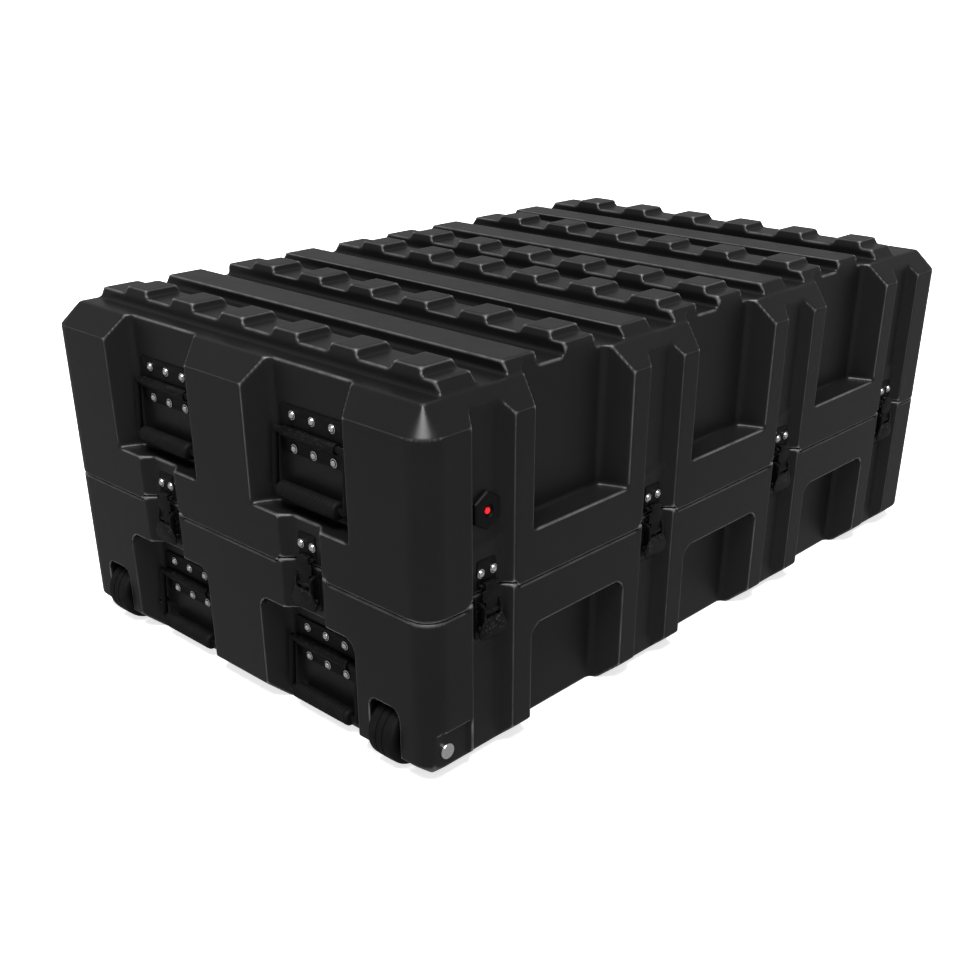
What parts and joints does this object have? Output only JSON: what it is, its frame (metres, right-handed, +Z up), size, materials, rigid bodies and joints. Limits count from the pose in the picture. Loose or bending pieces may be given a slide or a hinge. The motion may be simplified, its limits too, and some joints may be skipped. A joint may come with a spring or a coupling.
{
  "type": "transit case",
  "caption": "Lidded transit case with draw latches, drop handles, edge wheels, a pressure relief valve and a ribbed stacking lid.",
  "frame": {"origin": "middle of the case's footprint, on the floor plane, wheels' overhang left out", "axes": "+X along the case away from the wheel end, -Y out of the front wall with the relief valve, +Z up"},
  "size_m": [1.312, 0.812, 0.542],
  "materials": {
    "case_plastic": "matte, fine moulded grain",
    "seal_rubber": "soft foam rubber",
    "grip_rubber": "ribbed rubber",
    "wheel_rubber": "solid rubber",
    "black_steel": "black powder coat",
    "bright_steel": "bright zinc",
    "valve_plastic": "satin black",
    "red_plastic": "gloss red"
  },
  "bodies": {
    "base": {"base_shell": "case_plastic", "latch_plates": "black_steel", "latch_pins": "black_steel", "base_rivets": "bright_steel", "base_handle_plates": "black_steel", "wheel_axles": "bright_steel", "wheel_axle_nuts": "bright_steel"},
    "lid": {"lid_shell": "case_plastic", "lid_seal": "seal_rubber", "latch_keepers": "black_steel", "lid_rivets": "bright_steel", "lid_handle_plates": "black_steel", "valve_body": "valve_plastic", "valve_nut": "valve_plastic", "valve_spring": "bright_steel"},
    "valve_push": {"valve_button": "red_plastic"},
    "latch_lever_01_body": {"latch_lever_01": "black_steel"},
    "latch_hook_01_body": {"latch_hook_01": "black_steel"},
    "latch_lever_02_body": {"latch_lever_02": "black_steel"},
    "latch_hook_02_body": {"latch_hook_02": "black_steel"},
    "latch_lever_03_body": {"latch_lever_03": "black_steel"},
    "latch_hook_03_body": {"latch_hook_03": "black_steel"},
    "latch_lever_04_body": {"latch_lever_04": "black_steel"},
    "latch_hook_04_body": {"latch_hook_04": "black_steel"},
    "latch_lever_05_body": {"latch_lever_05": "black_steel"},
    "latch_hook_05_body": {"latch_hook_05": "black_steel"},
    "latch_lever_06_body": {"latch_lever_06": "black_steel"},
    "latch_hook_06_body": {"latch_hook_06": "black_steel"},
    "latch_lever_07_body": {"latch_lever_07": "black_steel"},
    "latch_hook_07_body": {"latch_hook_07": "black_steel"},
    "latch_lever_08_body": {"latch_lever_08": "black_steel"},
    "latch_hook_08_body": {"latch_hook_08": "black_steel"},
    "latch_lever_09_body": {"latch_lever_09": "black_steel"},
    "latch_hook_09_body": {"latch_hook_09": "black_steel"},
    "latch_lever_10_body": {"latch_lever_10": "black_steel"},
    "latch_hook_10_body": {"latch_hook_10": "black_steel"},
    "latch_lever_11_body": {"latch_lever_11": "black_steel"},
    "latch_hook_11_body": {"latch_hook_11": "black_steel"},
    "latch_lever_12_body": {"latch_lever_12": "black_steel"},
    "latch_hook_12_body": {"latch_hook_12": "black_steel"},
    "handle_1": {"handle_bail_1": "black_steel", "handle_grip_1": "grip_rubber"},
    "handle_2": {"handle_bail_2": "black_steel", "handle_grip_2": "grip_rubber"},
    "handle_3": {"handle_bail_3": "black_steel", "handle_grip_3": "grip_rubber"},
    "handle_4": {"handle_bail_4": "black_steel", "handle_grip_4": "grip_rubber"},
    "handle_5": {"handle_bail_5": "black_steel", "handle_grip_5": "grip_rubber"},
    "handle_6": {"handle_bail_6": "black_steel", "handle_grip_6": "grip_rubber"},
    "handle_7": {"handle_bail_7": "black_steel", "handle_grip_7": "grip_rubber"},
    "handle_8": {"handle_bail_8": "black_steel", "handle_grip_8": "grip_rubber"},
    "wheel_1_body": {"wheel_1": "wheel_rubber"},
    "wheel_2_body": {"wheel_2": "wheel_rubber"}
  },
  "joints": [
    {"name": "lid_lift", "type": "slide", "parent": "base", "child": "lid", "axis": [0, 0, 1], "range_m": [0, 0.42]},
    {"name": "latch_01", "type": "hinge", "parent": "base", "child": "latch_lever_01_body", "pos_m": [-0.5304, -0.398, 0.235], "axis": [-1, 0, 0], "range_deg": [0, 120]},
    {"name": "hook_01", "type": "hinge", "parent": "latch_lever_01_body", "child": "latch_hook_01_body", "pos_m": [-0.5304, -0.4015, 0.223], "axis": [-1, 0, 0], "range_deg": [-120, 0]},
    {"name": "latch_02", "type": "hinge", "parent": "base", "child": "latch_lever_02_body", "pos_m": [-0.1768, -0.398, 0.235], "axis": [-1, 0, 0], "range_deg": [0, 120]},
    {"name": "hook_02", "type": "hinge", "parent": "latch_lever_02_body", "child": "latch_hook_02_body", "pos_m": [-0.1768, -0.4015, 0.223], "axis": [-1, 0, 0], "range_deg": [-120, 0]},
    {"name": "latch_03", "type": "hinge", "parent": "base", "child": "latch_lever_03_body", "pos_m": [0.1768, -0.398, 0.235], "axis": [-1, 0, 0], "range_deg": [0, 120]},
    {"name": "hook_03", "type": "hinge", "parent": "latch_lever_03_body", "child": "latch_hook_03_body", "pos_m": [0.1768, -0.4015, 0.223], "axis": [-1, 0, 0], "range_deg": [-120, 0]},
    {"name": "latch_04", "type": "hinge", "parent": "base", "child": "latch_lever_04_body", "pos_m": [0.5304, -0.398, 0.235], "axis": [-1, 0, 0], "range_deg": [0, 120]},
    {"name": "hook_04", "type": "hinge", "parent": "latch_lever_04_body", "child": "latch_hook_04_body", "pos_m": [0.5304, -0.4015, 0.223], "axis": [-1, 0, 0], "range_deg": [-120, 0]},
    {"name": "latch_05", "type": "hinge", "parent": "base", "child": "latch_lever_05_body", "pos_m": [0.642, -0.1635, 0.235], "axis": [0, -1, 0], "range_deg": [0, 120]},
    {"name": "hook_05", "type": "hinge", "parent": "latch_lever_05_body", "child": "latch_hook_05_body", "pos_m": [0.6455, -0.1635, 0.223], "axis": [0, -1, 0], "range_deg": [-120, 0]},
    {"name": "latch_06", "type": "hinge", "parent": "base", "child": "latch_lever_06_body", "pos_m": [0.642, 0.1635, 0.235], "axis": [0, -1, 0], "range_deg": [0, 120]},
    {"name": "hook_06", "type": "hinge", "parent": "latch_lever_06_body", "child": "latch_hook_06_body", "pos_m": [0.6455, 0.1635, 0.223], "axis": [0, -1, 0], "range_deg": [-120, 0]},
    {"name": "latch_07", "type": "hinge", "parent": "base", "child": "latch_lever_07_body", "pos_m": [0.5304, 0.398, 0.235], "axis": [1, 0, 0], "range_deg": [0, 120]},
    {"name": "hook_07", "type": "hinge", "parent": "latch_lever_07_body", "child": "latch_hook_07_body", "pos_m": [0.5304, 0.4015, 0.223], "axis": [1, 0, 0], "range_deg": [-120, 0]},
    {"name": "latch_08", "type": "hinge", "parent": "base", "child": "latch_lever_08_body", "pos_m": [0.1768, 0.398, 0.235], "axis": [1, 0, 0], "range_deg": [0, 120]},
    {"name": "hook_08", "type": "hinge", "parent": "latch_lever_08_body", "child": "latch_hook_08_body", "pos_m": [0.1768, 0.4015, 0.223], "axis": [1, 0, 0], "range_deg": [-120, 0]},
    {"name": "latch_09", "type": "hinge", "parent": "base", "child": "latch_lever_09_body", "pos_m": [-0.1768, 0.398, 0.235], "axis": [1, 0, 0], "range_deg": [0, 120]},
    {"name": "hook_09", "type": "hinge", "parent": "latch_lever_09_body", "child": "latch_hook_09_body", "pos_m": [-0.1768, 0.4015, 0.223], "axis": [1, 0, 0], "range_deg": [-120, 0]},
    {"name": "latch_10", "type": "hinge", "parent": "base", "child": "latch_lever_10_body", "pos_m": [-0.5304, 0.398, 0.235], "axis": [1, 0, 0], "range_deg": [0, 120]},
    {"name": "hook_10", "type": "hinge", "parent": "latch_lever_10_body", "child": "latch_hook_10_body", "pos_m": [-0.5304, 0.4015, 0.223], "axis": [1, 0, 0], "range_deg": [-120, 0]},
    {"name": "latch_11", "type": "hinge", "parent": "base", "child": "latch_lever_11_body", "pos_m": [-0.642, 0.1635, 0.235], "axis": [0, 1, 0], "range_deg": [0, 120]},
    {"name": "hook_11", "type": "hinge", "parent": "latch_lever_11_body", "child": "latch_hook_11_body", "pos_m": [-0.6455, 0.1635, 0.223], "axis": [0, 1, 0], "range_deg": [-120, 0]},
    {"name": "latch_12", "type": "hinge", "parent": "base", "child": "latch_lever_12_body", "pos_m": [-0.642, -0.1635, 0.235], "axis": [0, 1, 0], "range_deg": [0, 120]},
    {"name": "hook_12", "type": "hinge", "parent": "latch_lever_12_body", "child": "latch_hook_12_body", "pos_m": [-0.6455, -0.1635, 0.223], "axis": [0, 1, 0], "range_deg": [-120, 0]},
    {"name": "handle_1_swing", "type": "hinge", "parent": "lid", "child": "handle_1", "pos_m": [-0.6205, 0.1635, 0.421], "axis": [0, 1, 0], "range_deg": [0, 100]},
    {"name": "handle_2_swing", "type": "hinge", "parent": "lid", "child": "handle_2", "pos_m": [-0.6205, -0.1635, 0.421], "axis": [0, 1, 0], "range_deg": [0, 100]},
    {"name": "handle_3_swing", "type": "hinge", "parent": "base", "child": "handle_3", "pos_m": [-0.6205, 0.1635, 0.108], "axis": [0, 1, 0], "range_deg": [0, 100]},
    {"name": "handle_4_swing", "type": "hinge", "parent": "base", "child": "handle_4", "pos_m": [-0.6205, -0.1635, 0.108], "axis": [0, 1, 0], "range_deg": [0, 100]},
    {"name": "handle_5_swing", "type": "hinge", "parent": "lid", "child": "handle_5", "pos_m": [0.6205, -0.1635, 0.421], "axis": [0, -1, 0], "range_deg": [0, 100]},
    {"name": "handle_6_swing", "type": "hinge", "parent": "lid", "child": "handle_6", "pos_m": [0.6205, 0.1635, 0.421], "axis": [0, -1, 0], "range_deg": [0, 100]},
    {"name": "handle_7_swing", "type": "hinge", "parent": "base", "child": "handle_7", "pos_m": [0.6205, -0.1635, 0.108], "axis": [0, -1, 0], "range_deg": [0, 100]},
    {"name": "handle_8_swing", "type": "hinge", "parent": "base", "child": "handle_8", "pos_m": [0.6205, 0.1635, 0.108], "axis": [0, -1, 0], "range_deg": [0, 100]},
    {"name": "wheel_1_spin", "type": "hinge", "parent": "base", "child": "wheel_1_body", "pos_m": [-0.616, -0.318, 0.048], "axis": [0, 1, 0], "continuous": true},
    {"name": "wheel_2_spin", "type": "hinge", "parent": "base", "child": "wheel_2_body", "pos_m": [-0.616, 0.318, 0.048], "axis": [0, 1, 0], "continuous": true},
    {"name": "valve_press", "type": "slide", "parent": "lid", "child": "valve_push", "axis": [0, 1, 0], "range_m": [0, 0.0015], "stiffness_N_per_m": 900, "springref_m": -0.002, "deforming": ["valve_spring"]}
  ],
  "couplings": [
    {"joint": "hook_01", "follows": "latch_01", "ratio": -1},
    {"joint": "hook_02", "follows": "latch_02", "ratio": -1},
    {"joint": "hook_03", "follows": "latch_03", "ratio": -1},
    {"joint": "hook_04", "follows": "latch_04", "ratio": -1},
    {"joint": "hook_05", "follows": "latch_05", "ratio": -1},
    {"joint": "hook_06", "follows": "latch_06", "ratio": -1},
    {"joint": "hook_07", "follows": "latch_07", "ratio": -1},
    {"joint": "hook_08", "follows": "latch_08", "ratio": -1},
    {"joint": "hook_09", "follows": "latch_09", "ratio": -1},
    {"joint": "hook_10", "follows": "latch_10", "ratio": -1},
    {"joint": "hook_11", "follows": "latch_11", "ratio": -1},
    {"joint": "hook_12", "follows": "latch_12", "ratio": -1}
  ]
}
